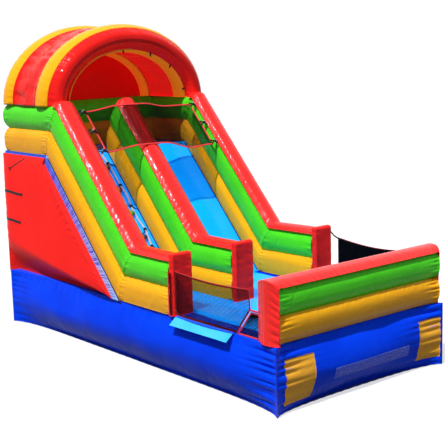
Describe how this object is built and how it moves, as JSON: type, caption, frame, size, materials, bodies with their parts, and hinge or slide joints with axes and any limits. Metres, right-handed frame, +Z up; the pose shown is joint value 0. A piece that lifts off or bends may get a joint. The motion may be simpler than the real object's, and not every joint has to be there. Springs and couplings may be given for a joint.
{
  "type": "inflatable water slide",
  "caption": "Inflated water slide with a climbing lane beside a slide lane, a hooded deck, netted sides and a walled landing bay on a deep base.",
  "frame": {"origin": "the middle of the base sheet's underside, on the ground", "axes": "+Z up, +Y along the slide towards the tower, +X across it, to the right of someone who faces the tower"},
  "size_m": [3.1136, 6.7003, 4.7093],
  "materials": {
    "base_sheet": "heavy satin coated vinyl",
    "base_vinyl": "glossy coated vinyl",
    "bed_vinyl": "glossy coated vinyl",
    "baffle_fabric": "plain coated fabric",
    "lane_vinyl": "slick wet vinyl",
    "panel_vinyl": "glossy coated vinyl",
    "net_mesh": "black knotless mesh with a red binding",
    "rope_fibre": "twisted fibre",
    "hold_1": "moulded",
    "hold_2": "moulded",
    "hold_3": "moulded",
    "hold_4": "moulded",
    "flap_vinyl": "glossy coated vinyl",
    "sleeve_fabric": "coated nylon",
    "zip_tape": "woven",
    "zip_metal": "plated",
    "anchor_webbing": "woven webbing",
    "ring_steel": "plated",
    "yellow_vinyl": "glossy coated vinyl",
    "green_vinyl": "glossy coated vinyl",
    "red_vinyl": "glossy coated vinyl"
  },
  "bodies": {
    "slide": {"base_front_tube": "base_vinyl", "base_left_tube": "base_vinyl", "base_rear_tube": "base_vinyl", "base_right_tube": "base_vinyl", "base_sheet": "base_sheet", "blower_sleeve": "sleeve_fabric", "bumper_green_tube": "green_vinyl", "bumper_red_cap": "red_vinyl", "bumper_yellow_tube": "yellow_vinyl", "centre_wall_end": "red_vinyl", "centre_wall_green_tube": "green_vinyl", "centre_wall_red_cap": "red_vinyl", "centre_wall_yellow_tube": "yellow_vinyl", "climb_lane_sheet": "lane_vinyl", "climbing_hold_1": "hold_1", "climbing_hold_2": "hold_2", "climbing_hold_3": "hold_3", "climbing_hold_4": "hold_4", "climbing_rope": "rope_fibre", "deck_bed": "bed_vinyl", "deck_left_rail_green": "green_vinyl", "deck_left_rail_yellow": "yellow_vinyl", "deck_rear_rail_green": "green_vinyl", "deck_rear_rail_yellow": "yellow_vinyl", "deck_right_rail_green": "green_vinyl", "deck_right_rail_yellow": "yellow_vinyl", "deflation_zip_tape": "zip_tape", "entry_gusset_net": "net_mesh", "front_red_arch": "red_vinyl", "front_yellow_arch": "yellow_vinyl", "hood_back_wall": "red_vinyl", "incline_bed": "bed_vinyl", "landing_baffle_left": "baffle_fabric", "landing_baffle_right": "baffle_fabric", "landing_bed": "bed_vinyl", "left_wall_end": "red_vinyl", "left_wall_green_tube": "green_vinyl", "left_wall_red_cap": "red_vinyl", "left_wall_yellow_tube": "yellow_vinyl", "rear_left_anchor_strap": "anchor_webbing", "rear_panel": "panel_vinyl", "rear_right_anchor_strap": "anchor_webbing", "rear_yellow_arch": "yellow_vinyl", "red_roof": "red_vinyl", "right_wall_end": "red_vinyl", "right_wall_green_tube": "green_vinyl", "right_wall_red_cap": "red_vinyl", "right_wall_yellow_tube": "yellow_vinyl", "side_net": "net_mesh", "side_panel_left": "panel_vinyl", "side_panel_right": "panel_vinyl", "slide_lane_sheet": "lane_vinyl", "top_net": "net_mesh", "tower_baffle_left": "baffle_fabric", "tower_baffle_right": "baffle_fabric"},
    "entry_door": {"entry_door_net": "net_mesh"},
    "entry_flap": {"entry_flap": "flap_vinyl"},
    "left_ring": {"rear_left_d_ring": "ring_steel"},
    "right_ring": {"rear_right_d_ring": "ring_steel"},
    "zip_slider": {"zip_slider": "zip_metal"}
  },
  "joints": [
    {"name": "door_net_hinge", "type": "hinge", "parent": "slide", "child": "entry_door", "pos_m": [-1.453, -1.1276, 0.875], "axis": [0, 0, -1], "range_deg": [0, 90]},
    {"name": "entry_flap_hinge", "type": "hinge", "parent": "slide", "child": "entry_flap", "pos_m": [-1.475, -1.735, 0.8603], "axis": [0, 1, 0], "range_deg": [0, 120]},
    {"name": "left_ring_hinge", "type": "hinge", "parent": "slide", "child": "left_ring", "pos_m": [-1.25, 3.1753, 0.0076], "axis": [1, 0, 0], "range_deg": [0, 160]},
    {"name": "right_ring_hinge", "type": "hinge", "parent": "slide", "child": "right_ring", "pos_m": [1.25, 3.1753, 0.0076], "axis": [1, 0, 0], "range_deg": [0, 160]},
    {"name": "zip_slide", "type": "slide", "parent": "slide", "child": "zip_slider", "axis": [1, 0, 0], "range_m": [0, 0.54]}
  ]
}
